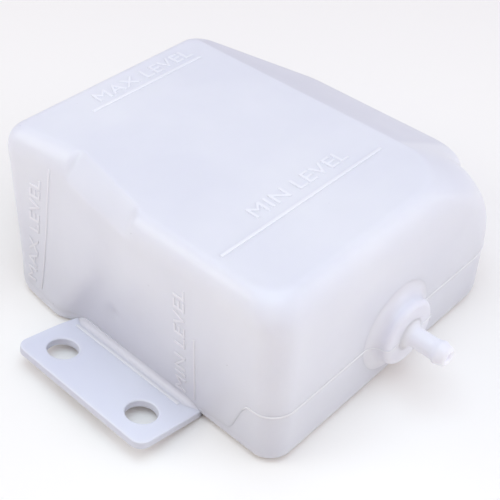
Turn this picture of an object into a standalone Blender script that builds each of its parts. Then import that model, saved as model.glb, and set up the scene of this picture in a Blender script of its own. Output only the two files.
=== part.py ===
"""Coolant expansion tank lying on its flat back, as an assembly of separate solids.

Metres, +Z up.  +Z is the front of the tank, -X is its top when it is mounted and
+X is its bottom, where the hose outlet is.  The origin is under the middle of the
bounding box, on the surface the tank lies on.
"""
import math

import bmesh
import bpy
from mathutils import Matrix, Vector

# ---------------------------------------------------------------- driving sizes
# All x, y, z below are drawing positions: x = 0 at the outlet end wall, y = 0 just
# inside the flange side wall, z = 0 under the back.  SHIFT moves them to the origin.
TANK_TOP_X = -0.1642        # end wall with the filler neck
TANK_BOTTOM_X = -0.0006     # end wall with the outlet
DEPTH = 0.0840              # back to front face
WALL = 0.0022               # wall of both half shells
GAP = 0.0003                # clearance between pieces that touch

SIDE_BACK_Y = -0.0068       # flange side wall at the back
SIDE_FRONT_Y = -0.0060      # the same wall at the front
FOOT_END_Y = -0.0090        # back edge of that wall at the filler end
FOOT_Y = -0.0130            # the same edge beside the flange
DENT_Y = 0.0034             # front edge of that wall where it is drawn in most
DENT_END_Y = -0.0030        # front edge of that wall at the filler end
DENT_X0 = -0.1275
DENT_X1 = -0.0800

FRONT_FAR_Y = 0.1084        # far edge of the flat front face
SHOULDER = math.radians(28.0)
BREAK_Y = 0.1280            # where the shoulder turns down beside the outlet end
BREAK_Z = 0.0735
STEEP = math.radians(50.0)
FAR_TOP_Y = 0.1205          # far wall at the filler end
FAR_PEAK_Y = 0.1530         # far wall where the shoulder is widest
FAR_PEAK_X = -0.1168
FAR_END_Y = 0.1520
FAR_BASE_Y = 0.1515         # far wall beside the outlet end
BULGE_X0 = -0.0448
BULGE_X1 = -0.0192

CORNER_NEAR_BACK = 0.0145   # upright corner radii
CORNER_NEAR_FRONT = 0.0060
CORNER_OUT_BACK = 0.0104
CORNER_OUT_FRONT = 0.0128
CORNER_FAR_OUT = 0.0230
CORNER_FAR_TOP = 0.0056
BACK_RADIUS = 0.0050
SHOULDER_BLEND = 0.0060     # softness of the shoulder's outer edge
RISE_OUT, RUN_OUT = 0.0184, 0.0104     # rounding of the front face's edges
RISE_SIDE, RUN_SIDE = 0.0112, 0.0080
RISE_TOP, RUN_TOP = 0.0056, 0.0056

AXIS_Z = 0.0280             # height of the outlet
OUTLET_Y = 0.0692
BOSS_RADIUS = 0.0156
BOSS_FOOT = 0.0180
BOSS_X = 0.0070
BOSS_WALL = 0.0035
NIPPLE_RADIUS = 0.0046
NIPPLE_BORE = 0.0030
NIPPLE_TIP_X = 0.0264
BARB_RADIUS = 0.0054
COLLAR_RADIUS = 0.0078

NECK_Y = 0.0520             # axis of the filler neck
NECK_Z = 0.0300
NECK_RADIUS = 0.0170
NECK_BORE = 0.0140
NECK_DISC = 0.0225
NECK_HEIGHT = 0.0210
THREAD_PITCH = 0.0050
THREAD_TURNS = 1.25
THREAD_HEIGHT = 0.0014
THREAD_WIDTH = 0.0015

CAP_RADIUS = 0.0235
CAP_RIB = 0.0009
CAP_RIBS = 20
CAP_BORE = 0.0190
CAP_FROM = 0.0050
CAP_INNER = 0.0232
CAP_TO = 0.0280
CAP_POCKET_R = 0.0100
CAP_POCKET = 0.0024
VENT_RING = 0.0046
VENT_HOLE = 0.0011
VALVE_STEM = 0.0016
VALVE_HOLE = 0.0020

FLANGE_X0 = -0.1200
FLANGE_X1 = -0.0404
FLANGE_OUT = 0.0336
FLANGE_T = 0.0038
FLANGE_Z = 0.0042
FLANGE_TILT = math.radians(12.5)
FLANGE_CORNER = 0.0056
FLANGE_ROOT = 0.0020        # how far the plate reaches in under the side wall
HOLE_RADIUS = 0.0069
HOLE_S = 0.0194
HOLE_X = (-0.1052, -0.0550)

LINE_HIGH = 0.0004          # raised level lines on the front face
LINE_WIDE = 0.0012
HIGH_LINE = (-0.1448, 0.0328, 0.0980)
LOW_LINE = (-0.0390, 0.0036, 0.0992)

FLANGE_EDGE_Y = (SIDE_BACK_Y - FLANGE_OUT * math.cos(FLANGE_TILT)
                 - FLANGE_T * math.sin(FLANGE_TILT))
SHIFT = Vector((
    -(NIPPLE_TIP_X + TANK_TOP_X - CAP_TO) / 2,
    -(FAR_PEAK_Y + FLANGE_EDGE_Y) / 2,
    0.0,
))


# ---------------------------------------------------------------- small helpers
def clear_scene():
    for obj in list(bpy.data.objects):
        bpy.data.objects.remove(obj, do_unlink=True)


def smooth_step(t):
    t = min(1.0, max(0.0, t))
    return t * t * (3.0 - 2.0 * t)


def blend(x, x0, x1, a, b):
    return a + (b - a) * smooth_step((x - x0) / (x1 - x0))


def soft_min(a, b, width):
    """The smaller of two values, with a rounded changeover."""
    overlap = max(0.0, width - abs(a - b))
    return min(a, b) - overlap * overlap / (4.0 * width)


def ramp(x, points):
    """Straight runs through (x, value) points."""
    for (xa, va), (xb, vb) in zip(points, points[1:]):
        if x <= xb:
            return va + (vb - va) * max(0.0, x - xa) / (xb - xa)
    return points[-1][1]


def material(name, colour, roughness):
    mat = bpy.data.materials.new(name)
    mat.use_nodes = True
    shader = mat.node_tree.nodes["Principled BSDF"]
    shader.inputs["Base Color"].default_value = (*colour, 1.0)
    shader.inputs["Roughness"].default_value = roughness
    shader.inputs["Metallic"].default_value = 0.0
    return mat


def object_from(name, bm, sharp=35.0):
    bmesh.ops.recalc_face_normals(bm, faces=bm.faces)
    mesh = bpy.data.meshes.new(name)
    bm.to_mesh(mesh)
    bm.free()
    mesh.shade_smooth()
    mesh.set_sharp_from_angle(angle=math.radians(sharp))
    obj = bpy.data.objects.new(name, mesh)
    bpy.context.collection.objects.link(obj)
    return obj


def loft(bm, rings):
    """Closed skin through rings of equal length, with a flat cap at each end."""
    loops = [[bm.verts.new(p) for p in ring] for ring in rings]
    count = len(loops[0])
    for low, high in zip(loops, loops[1:]):
        for i in range(count):
            j = (i + 1) % count
            bm.faces.new((low[i], low[j], high[j], high[i]))
    bm.faces.new(list(reversed(loops[0])))
    bm.faces.new(loops[-1])


def cut(obj, tool, operation="DIFFERENCE"):
    """Apply a Boolean and remove the tool."""
    mod = obj.modifiers.new("cut", "BOOLEAN")
    mod.operation = operation
    mod.solver = "EXACT"
    mod.object = tool
    graph = bpy.context.evaluated_depsgraph_get()
    mesh = bpy.data.meshes.new_from_object(obj.evaluated_get(graph))
    obj.modifiers.clear()
    old = obj.data
    obj.data = mesh
    bpy.data.meshes.remove(old)
    bpy.data.objects.remove(tool, do_unlink=True)


def tidy(obj, sharp=35.0):
    """Weld the slivers a Boolean leaves and set the shading."""
    bm = bmesh.new()
    bm.from_mesh(obj.data)
    bmesh.ops.remove_doubles(bm, verts=bm.verts, dist=0.00002)
    bmesh.ops.dissolve_degenerate(bm, edges=bm.edges, dist=0.00002)
    bm.to_mesh(obj.data)
    bm.free()
    obj.data.shade_smooth()
    obj.data.set_sharp_from_angle(angle=math.radians(sharp))


def turned(name, profile, steps, outward, place):
    """Spin a closed (along, radius) outline about the outward axis, from place."""
    bm = bmesh.new()
    side = Vector((0, 0, 1))
    verts = [bm.verts.new(outward * s + side * r) for s, r in profile]
    edges = [bm.edges.new((a, b)) for a, b in zip(verts, verts[1:] + verts[:1])]
    bmesh.ops.spin(
        bm, geom=verts + edges, cent=(0, 0, 0), axis=outward,
        angle=math.tau, steps=steps, use_merge=True, use_duplicate=False,
    )
    bmesh.ops.remove_doubles(bm, verts=bm.verts, dist=0.00001)
    obj = object_from(name, bm)
    obj.location = place
    bpy.context.view_layer.update()
    return obj


def drum(name, s0, s1, radius, steps, outward, place, second=None):
    """Solid cylinder or cone along the outward axis."""
    far = radius if second is None else second
    bm = bmesh.new()
    across = Vector((0, 1, 0))
    up = outward.cross(across)
    rings = []
    for s, r in ((s0, radius), (s1, far)):
        ring = []
        for k in range(steps):
            a = math.tau * (k + 0.5) / steps
            ring.append(outward * s + (across * math.cos(a) + up * math.sin(a)) * r)
        rings.append(ring)
    loft(bm, rings)
    obj = object_from(name, bm)
    obj.location = place
    bpy.context.view_layer.update()
    return obj


def block(name, low, high):
    bm = bmesh.new()
    bmesh.ops.create_cube(bm, size=1.0)
    size = Vector(high) - Vector(low)
    bmesh.ops.scale(bm, vec=size, verts=bm.verts)
    bmesh.ops.translate(bm, vec=(Vector(low) + Vector(high)) / 2, verts=bm.verts)
    return object_from(name, bm)


# ---------------------------------------------------------------- shape of the tank
def front_inset(z, t, rise, run):
    """How far the front rounding pulls a side in at height z."""
    rise, run = rise - t, max(run - t, 0.001)
    u = (z - (DEPTH - t - rise)) / rise
    if u <= 0.0:
        return 0.0
    return run * (1.0 - math.sqrt(max(0.0, 1.0 - min(u, 1.0) ** 2)))


def back_inset(z, t):
    radius = BACK_RADIUS - t
    u = (t + radius - z) / radius
    if u <= 0.0:
        return 0.0
    return radius * (1.0 - math.sqrt(max(0.0, 1.0 - min(u, 1.0) ** 2)))


def near_y(x, z, t):
    """Flange side wall: drawn in towards the front near the filler end."""
    back = ramp(x, [(TANK_TOP_X, FOOT_END_Y), (-0.1260, FOOT_Y), (-0.1180, SIDE_BACK_Y),
                    (0.1, SIDE_BACK_Y)])
    front = ramp(x, [(TANK_TOP_X, DENT_END_Y), (DENT_X0, DENT_Y), (DENT_X1, SIDE_FRONT_Y),
                     (0.1, SIDE_FRONT_Y)])
    y = back + (front - back) * z / DEPTH
    return y + t + front_inset(z, t, RISE_SIDE, RUN_SIDE) + back_inset(z, t)


def slope_y(z, t, angle):
    return FRONT_FAR_Y + (DEPTH - z) / math.tan(angle) - t / math.sin(angle)


def far_y(x, z, t):
    """Far wall: a sloping shoulder down to a bulge that stops before the outlet end."""
    wall = ramp(x, [(TANK_TOP_X, FAR_TOP_Y), (FAR_PEAK_X, FAR_PEAK_Y), (BULGE_X0, FAR_END_Y)])
    bulge = soft_min(slope_y(z, t, SHOULDER), wall - t, SHOULDER_BLEND)
    fall = BREAK_Y + (BREAK_Z - z) / math.tan(STEEP) - t / math.sin(STEEP)
    plain = soft_min(slope_y(z, t, SHOULDER), fall, SHOULDER_BLEND)
    plain = soft_min(plain, FAR_BASE_Y - t, 2.0 * SHOULDER_BLEND)
    u = min(1.0, max(0.0, (x - BULGE_X0) / (BULGE_X1 - BULGE_X0)))
    weight = math.sqrt(1.0 - u * u)
    return plain + weight * (bulge - plain) - back_inset(z, t)


def outline(z, t):
    """Level section of the tank at height z, pulled in by t."""
    x0 = TANK_TOP_X + t + front_inset(z, t, RISE_TOP, RUN_TOP) + back_inset(z, t)
    x1 = TANK_BOTTOM_X - t - front_inset(z, t, RISE_OUT, RUN_OUT) - back_inset(z, t)
    ring = []

    def corner(x_end, way, radius, steps, side, wall, outwards):
        radius = radius - t
        for k in range(steps + 1):
            a = math.radians(90.0 * (k if outwards else steps - k) / steps)
            x = x_end + way * radius * (1.0 - math.cos(a))
            y = wall(x, z, t) + side * radius * (1.0 - math.sin(a))
            ring.append((x, y, z))

    near_radius = CORNER_NEAR_BACK + (CORNER_NEAR_FRONT - CORNER_NEAR_BACK) * z / DEPTH
    out_radius = CORNER_OUT_BACK + (CORNER_OUT_FRONT - CORNER_OUT_BACK) * z / DEPTH
    corner(x0, 1, near_radius, 4, 1, near_y, True)
    for x in (-0.1400, -0.1320, DENT_X0, -0.1220, -0.1170, -0.0980, DENT_X1, -0.0560, -0.0300):
        ring.append((x, near_y(x, z, t), z))
    corner(x1, -1, out_radius, 5, 1, near_y, False)
    corner(x1, -1, CORNER_FAR_OUT, 8, -1, far_y, True)
    for x in (BULGE_X0 + 0.0030, BULGE_X0, -0.0560, -0.0800, -0.1030, FAR_PEAK_X + 0.0050,
              FAR_PEAK_X, FAR_PEAK_X - 0.0050, -0.1290, -0.1370, -0.1450, -0.1520):
        ring.append((x, far_y(x, z, t), z))
    corner(x0, 1, CORNER_FAR_TOP, 4, -1, far_y, False)
    return ring


def tank_solid(name, t):
    """The whole outer form, or with t the hollow inside it."""
    radius = BACK_RADIUS - t
    levels = [t + radius * (1.0 - math.cos(math.radians(90.0 * k / 4))) for k in range(5)]
    levels += [0.016, 0.036, 0.053]
    rise = RISE_OUT - t
    start = DEPTH - t - rise
    levels += [start + rise * math.sin(math.radians(90.0 * k / 9)) for k in range(10)]
    bm = bmesh.new()
    loft(bm, [outline(z, t) for z in levels])
    return object_from(name, bm)


def seam_z(x):
    """Height of the weld between the half shells along the tank."""
    if x > -0.0260:
        return blend(x, -0.0260, -0.0144, 0.0080, AXIS_Z)
    if x > -0.0600:
        return blend(x, -0.0400, -0.0260, 0.0064, 0.0080)
    return blend(x, -0.1560, -0.1220, 0.0084, 0.0064)


def below_seam(name, offset):
    """Solid that fills everything behind the seam."""
    bm = bmesh.new()
    xs = [-0.180 + 0.0025 * k for k in range(86)]
    rings = []
    for y in (-0.060, 0.200):
        top = [(x, y, seam_z(x) + offset) for x in xs]
        rings.append(top + [(xs[-1], y, -0.030), (xs[0], y, -0.030)])
    loft(bm, rings)
    return object_from(name, bm)


OUT = Vector((1, 0, 0))
UP = Vector((-1, 0, 0))
OUTLET = Vector((0, OUTLET_Y, AXIS_Z))
NECK = Vector((TANK_TOP_X, NECK_Y, NECK_Z))


def tank_body(name):
    """Closed form with the outlet boss, hollowed and pierced for its fittings."""
    body = tank_solid(name, 0.0)
    boss = turned("boss", [
        (-0.0120, 0.0),
        (-0.0120, BOSS_FOOT + 0.0010),
        (TANK_BOTTOM_X, BOSS_FOOT),
        (0.0022, BOSS_RADIUS),
        (BOSS_X - 0.0018, BOSS_RADIUS),
        (BOSS_X - 0.0005, BOSS_RADIUS - 0.0006),
        (BOSS_X, BOSS_RADIUS - 0.0020),
        (BOSS_X, 0.0),
    ], 32, OUT, OUTLET)
    cut(body, boss, "UNION")
    hollow = tank_solid("hollow", WALL)
    cut(hollow, drum("boss_hollow", -0.020, BOSS_X - BOSS_WALL, BOSS_RADIUS - WALL, 32,
                     OUT, OUTLET), "UNION")
    cut(body, hollow)
    cut(body, drum("nipple_hole", -0.010, 0.020, NIPPLE_RADIUS + GAP, 24, OUT, OUTLET))
    cut(body, drum("neck_hole", -0.010, 0.010, NECK_RADIUS - 0.0010, 40, UP, NECK))
    return body


def make_shells(mats):
    front = tank_body("front_shell")
    cut(front, below_seam("behind", GAP / 2))
    for x, y0, y1 in (HIGH_LINE, LOW_LINE):
        line = block("line", (x - LINE_WIDE / 2, y0, DEPTH - 0.0008),
                     (x + LINE_WIDE / 2, y1, DEPTH + LINE_HIGH))
        cut(front, line, "UNION")
    tidy(front)
    rear = tank_body("rear_shell")
    cut(rear, below_seam("behind", -GAP / 2), "INTERSECT")
    tidy(rear)
    front.data.materials.append(mats["front_shell"])
    rear.data.materials.append(mats["rear_shell"])


def make_flange(mats):
    """Flat plate with two bolt holes, tilted up away from the side wall."""
    bm = bmesh.new()
    low, high = [], []
    r = FLANGE_CORNER
    points = [(FLANGE_X0, -FLANGE_ROOT), (FLANGE_X1, -FLANGE_ROOT)]
    for k in range(7):
        a = math.radians(90.0 * k / 6)
        points.append((FLANGE_X1 - r + r * math.cos(a), FLANGE_OUT - r + r * math.sin(a)))
    for k in range(7):
        a = math.radians(90.0 + 90.0 * k / 6)
        points.append((FLANGE_X0 + r + r * math.cos(a), FLANGE_OUT - r + r * math.sin(a)))
    for x, s in points:
        low.append((x, -s, -FLANGE_T))
        high.append((x, -s, 0.0))
    loft(bm, [low, high])
    bmesh.ops.rotate(bm, cent=(0, 0, 0), matrix=Matrix.Rotation(-FLANGE_TILT, 3, "X"), verts=bm.verts)
    bmesh.ops.translate(bm, vec=(0, SIDE_BACK_Y, FLANGE_Z), verts=bm.verts)
    flange = object_from("mounting_flange", bm)
    for x in HOLE_X:
        hole = drum("hole", -0.020, 0.020, HOLE_RADIUS, 28, Vector((0, 0, 1)), (x, -HOLE_S, 0))
        turn = Matrix.Translation((0, SIDE_BACK_Y, FLANGE_Z)) @ Matrix.Rotation(-FLANGE_TILT, 4, "X")
        hole.matrix_world = turn @ Matrix.Translation((x, -HOLE_S, 0))
        bpy.context.view_layer.update()
        cut(flange, hole)
    keep_off = tank_solid("keep_off", -GAP)
    cut(flange, keep_off)
    tidy(flange)
    flange.data.materials.append(mats["mounting_flange"])


def make_nipple(mats):
    """Hose stub: inner collar, straight shaft and a rounded barb, bored through."""
    inner = BOSS_X - BOSS_WALL
    profile = [
        (inner - GAP - 0.0022, NIPPLE_BORE),
        (inner - GAP - 0.0022, COLLAR_RADIUS),
        (inner - GAP, COLLAR_RADIUS),
        (inner - GAP, NIPPLE_RADIUS),
        (NIPPLE_TIP_X - 0.0074, NIPPLE_RADIUS),
        (NIPPLE_TIP_X - 0.0060, BARB_RADIUS - 0.0002),
        (NIPPLE_TIP_X - 0.0046, BARB_RADIUS),
        (NIPPLE_TIP_X - 0.0024, BARB_RADIUS - 0.0002),
        (NIPPLE_TIP_X - 0.0007, BARB_RADIUS - 0.0011),
        (NIPPLE_TIP_X, BARB_RADIUS - 0.0019),
        (NIPPLE_TIP_X, NIPPLE_BORE),
    ]
    nipple = turned("outlet_nipple", profile, 24, OUT, OUTLET)
    nipple.data.materials.append(mats["outlet_nipple"])


def thread(name, start, radius_root, radius_crest, place):
    """Helical ridge about the neck axis; rises outwards as it turns anticlockwise."""
    bm = bmesh.new()
    steps = int(24 * THREAD_TURNS)
    side = Vector((0, 0, 1))
    across = UP.cross(side)
    rings = []
    for k in range(steps + 1):
        turn = math.tau * THREAD_TURNS * k / steps
        radial = side * math.cos(turn) + across * math.sin(turn)
        fade = min(1.0, 0.25 + 0.75 * min(k, steps - k) / 3.0)
        crest = radius_root + (radius_crest - radius_root) * fade
        s = start + THREAD_PITCH * THREAD_TURNS * k / steps
        half = THREAD_WIDTH / 2
        section = ((s - half, radius_root), (s - half * 0.5, crest),
                   (s + half * 0.5, crest), (s + half, radius_root))
        rings.append([UP * a + radial * r for a, r in section])
    loft(bm, rings)
    obj = object_from(name, bm)
    obj.location = place
    bpy.context.view_layer.update()
    return obj


def make_neck(mats):
    profile = [
        (-WALL - 0.0010, NECK_BORE),
        (-WALL - 0.0010, NECK_RADIUS - 0.0010 - GAP),
        (GAP, NECK_RADIUS - 0.0010 - GAP),
        (GAP, NECK_DISC),
        (GAP + 0.0025, NECK_DISC),
        (GAP + 0.0031, NECK_DISC - 0.0006),
        (GAP + 0.0031, NECK_RADIUS),
        (NECK_HEIGHT - 0.0006, NECK_RADIUS),
        (NECK_HEIGHT, NECK_RADIUS - 0.0006),
        (NECK_HEIGHT, NECK_BORE),
    ]
    neck = turned("filler_neck", profile, 40, UP, NECK)
    ridge = thread("ridge", 0.0105, NECK_RADIUS - 0.0004, NECK_RADIUS + THREAD_HEIGHT, NECK)
    cut(neck, ridge, "UNION")
    tidy(neck)
    neck.data.materials.append(mats["filler_neck"])


def make_cap(mats, pivot):
    """Ribbed screw cap with a vent pocket in its top."""
    bm = bmesh.new()
    across = Vector((0, 1, 0))
    up = UP.cross(across)
    steps = CAP_RIBS * 4
    rings = []
    chamfer = 0.0012
    for s, shrink in ((CAP_FROM, 0.0), (CAP_TO - chamfer, 0.0), (CAP_TO, chamfer)):
        ring = []
        for k in range(steps):
            a = math.tau * (k + 0.5) / steps
            raised = CAP_RIB if k % 4 < 2 else 0.0
            radius = CAP_RADIUS + raised - shrink
            ring.append(UP * s + (across * math.cos(a) + up * math.sin(a)) * radius)
        rings.append(ring)
    loft(bm, rings)
    cap = object_from("filler_cap", bm)
    cap.location = NECK
    bpy.context.view_layer.update()
    cut(cap, drum("bore", CAP_FROM - 0.002, CAP_INNER, CAP_BORE, 40, UP, NECK))
    cut(cap, drum("pocket", CAP_TO - CAP_POCKET, CAP_TO + 0.002, CAP_POCKET_R, 32, UP, NECK))
    cut(cap, drum("stem_hole", CAP_INNER - 0.002, CAP_TO, VALVE_HOLE, 16, UP, NECK))
    for k in range(4):
        a = math.tau * (k + 0.5) / 4
        spot = NECK + (across * math.cos(a) + up * math.sin(a)) * VENT_RING
        cut(cap, drum("vent", CAP_INNER - 0.002, CAP_TO, VENT_HOLE, 10, UP, spot))
    ridge = thread("ridge", 0.0085, CAP_BORE + 0.0004, NECK_RADIUS + 0.0007, NECK)
    cut(cap, ridge, "UNION")
    tidy(cap)
    cap.data.materials.append(mats["filler_cap"])

    gasket_profile = [
        (NECK_HEIGHT + GAP, NECK_BORE - 0.0005),
        (NECK_HEIGHT + GAP, CAP_BORE - 0.0006),
        (CAP_INNER - GAP, CAP_BORE - 0.0006),
        (CAP_INNER - GAP, NECK_BORE - 0.0005),
    ]
    gasket = turned("cap_gasket", gasket_profile, 32, UP, NECK)
    gasket.data.materials.append(mats["cap_gasket"])

    floor = CAP_TO - CAP_POCKET
    valve_profile = [
        (CAP_INNER - GAP - 0.0035, 0.0),
        (CAP_INNER - GAP - 0.0030, 0.0012),
        (CAP_INNER - GAP - 0.0006, 0.0026),
        (CAP_INNER - GAP, 0.0026),
        (CAP_INNER - GAP, VALVE_STEM),
        (floor + GAP + 0.0004, VALVE_STEM),
        (floor + GAP, 0.0078),
        (floor + GAP + 0.0005, 0.0080),
        (floor + GAP + 0.0014, 0.0030),
        (floor + GAP + 0.0017, 0.0),
    ]
    valve = turned("breather_valve", valve_profile, 24, UP, NECK)
    valve.data.materials.append(mats["breather_valve"])
    for obj in (cap, gasket, valve):
        obj.parent = pivot
        obj.matrix_parent_inverse = pivot.matrix_world.inverted()


def main():
    clear_scene()
    milky = (0.80, 0.82, 0.88)
    mats = {
        "front_shell": material("front_shell", milky, 0.38),
        "rear_shell": material("rear_shell", (0.76, 0.78, 0.84), 0.42),
        "mounting_flange": material("mounting_flange", (0.74, 0.77, 0.84), 0.42),
        "outlet_nipple": material("outlet_nipple", (0.82, 0.83, 0.87), 0.36),
        "filler_neck": material("filler_neck", (0.82, 0.83, 0.87), 0.36),
        "filler_cap": material("filler_cap", (0.012, 0.012, 0.014), 0.42),
        "cap_gasket": material("cap_gasket", (0.020, 0.020, 0.022), 0.75),
        "breather_valve": material("breather_valve", (0.36, 0.05, 0.03), 0.55),
    }
    make_shells(mats)
    make_flange(mats)
    make_nipple(mats)
    make_neck(mats)
    pivot = bpy.data.objects.new("cap_axis", None)
    bpy.context.collection.objects.link(pivot)
    pivot.location = NECK
    bpy.context.view_layer.update()
    make_cap(mats, pivot)
    for obj in bpy.data.objects:
        if obj.parent is None:
            obj.location = obj.location + SHIFT
    bpy.context.view_layer.update()


main()
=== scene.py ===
# %% [markdown]
# # A coolant expansion tank
#
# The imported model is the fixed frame: it says where every piece is and how it moves.
# This lesson puts the finished surfaces around it. The tank is a moulded shell of
# milky polyethylene, so most of the work is in soft shapes: a lofted body with a raised
# seam, a boss that grows out of the wall, and marks that stand a fraction proud.

# %% Load the frame
import math

import bpy
import numpy as np
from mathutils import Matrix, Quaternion, Vector


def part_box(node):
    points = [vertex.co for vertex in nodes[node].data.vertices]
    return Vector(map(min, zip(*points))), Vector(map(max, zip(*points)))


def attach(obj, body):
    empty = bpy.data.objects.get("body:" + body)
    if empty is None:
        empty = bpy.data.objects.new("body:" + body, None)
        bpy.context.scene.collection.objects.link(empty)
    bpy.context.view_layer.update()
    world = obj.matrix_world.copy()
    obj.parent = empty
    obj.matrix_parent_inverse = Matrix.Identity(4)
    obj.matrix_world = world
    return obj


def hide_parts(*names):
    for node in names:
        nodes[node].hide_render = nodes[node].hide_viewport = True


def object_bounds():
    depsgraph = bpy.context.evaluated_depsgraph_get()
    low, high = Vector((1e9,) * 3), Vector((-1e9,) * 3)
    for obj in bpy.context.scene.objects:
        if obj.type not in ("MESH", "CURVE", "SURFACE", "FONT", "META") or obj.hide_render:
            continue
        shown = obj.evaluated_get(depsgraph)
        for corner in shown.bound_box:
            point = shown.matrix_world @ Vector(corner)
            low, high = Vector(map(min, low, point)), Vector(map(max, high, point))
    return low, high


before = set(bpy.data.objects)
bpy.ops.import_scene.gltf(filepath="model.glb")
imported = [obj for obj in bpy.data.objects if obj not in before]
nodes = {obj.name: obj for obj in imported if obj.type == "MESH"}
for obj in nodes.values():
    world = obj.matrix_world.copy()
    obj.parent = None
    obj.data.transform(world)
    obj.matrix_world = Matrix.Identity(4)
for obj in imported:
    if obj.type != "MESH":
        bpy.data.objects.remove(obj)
cad_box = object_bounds()
print("nodes:", sorted(nodes))
print("box:", [round(v, 4) for v in (*cad_box[0], *cad_box[1])])

# %% [markdown]
# ## Places
#
# The tank was drawn with its outlet end wall at x = 0. The frame tells where that
# drawing lies: the filler end wall is the front shell's lowest x, and the hose stub is
# round, so the middle of its box is its axis. The tank lies on its flat back, at z = 0,
# and its marked front face is at the depth. All sizes are metres.

# %% Drawing origin and driving sizes
TOP_X = -0.1642
BOTTOM_X = -0.0006
OUTLET_Y = 0.0692
AXIS_Z = 0.0280
BODY_DEPTH = 0.0840
WALL = 0.0022
shell_low, shell_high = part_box("front_shell")
stub_low, stub_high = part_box("outlet_nipple")
origin = Vector((shell_low.x - TOP_X, (stub_low.y + stub_high.y) / 2 - OUTLET_Y, 0.0))
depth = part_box("rear_shell")[0].z + BODY_DEPTH
print("drawing origin:", [round(v, 5) for v in origin], "depth:", round(depth, 4))

# %% [markdown]
# ## Small helpers
#
# An operator works on all that is selected, and loading the frame leaves its nodes
# selected. So each step begins by choosing one object alone.

# %% Choose and pick
def choose(piece):
    """Select one piece alone and make it active."""
    if bpy.context.object and bpy.context.object.mode != "OBJECT":
        bpy.ops.object.mode_set(mode="OBJECT")
    bpy.ops.object.select_all(action="DESELECT")
    piece.select_set(True)
    bpy.context.view_layer.objects.active = piece


def pick(piece, part, test):
    """Go to edit mode with only the faces or edges that pass a test selected. The test is
    given a face, or the two ends of an edge."""
    choose(piece)
    bpy.ops.object.mode_set(mode="EDIT")
    bpy.ops.mesh.select_mode(type=part)
    bpy.ops.mesh.select_all(action="DESELECT")
    bpy.ops.object.mode_set(mode="OBJECT")
    mesh = piece.data
    items = mesh.polygons if part == "FACE" else mesh.edges
    for item in items:
        if part == "FACE":
            item.select = test(item)
        else:
            a, b = (mesh.vertices[i].co for i in item.vertices)
            item.select = test(a, b)
    bpy.ops.object.mode_set(mode="EDIT")


# %% Settle, apply, turn outwards
def settle(piece):
    """Put the object's place, turn and scale into its mesh."""
    choose(piece)
    bpy.ops.object.transform_apply(location=True, rotation=True, scale=True)


def harden(piece, modifier):
    """Apply a modifier."""
    choose(piece)
    bpy.ops.object.modifier_apply(modifier=modifier.name)


def outward(piece):
    """Weld doubles and turn all faces outwards."""
    choose(piece)
    bpy.ops.object.mode_set(mode="EDIT")
    bpy.ops.mesh.select_all(action="SELECT")
    bpy.ops.mesh.remove_doubles(threshold=0.00001)
    bpy.ops.mesh.normals_make_consistent(inside=False)
    bpy.ops.object.mode_set(mode="OBJECT")


# %% Finish a piece, cut a piece
def finish_piece(piece, name, body, material, angle=38.0):
    """Name a piece, smooth its shading and hang it on its body."""
    choose(piece)
    bpy.ops.object.shade_smooth_by_angle(angle=math.radians(angle))
    piece.name = name
    piece.data.name = name
    piece.data.materials.clear()
    piece.data.materials.append(material)
    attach(piece, body)
    print(name, "faces:", len(piece.data.polygons))


def boolean(piece, tool, operation):
    """Cut or join with a tool, which is then removed."""
    choose(piece)
    cutting = piece.modifiers.new("cut", "BOOLEAN")
    cutting.operation = operation
    cutting.solver = "MANIFOLD"
    cutting.object = tool
    bpy.ops.object.modifier_apply(modifier=cutting.name)
    bpy.data.objects.remove(tool, do_unlink=True)
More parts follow.
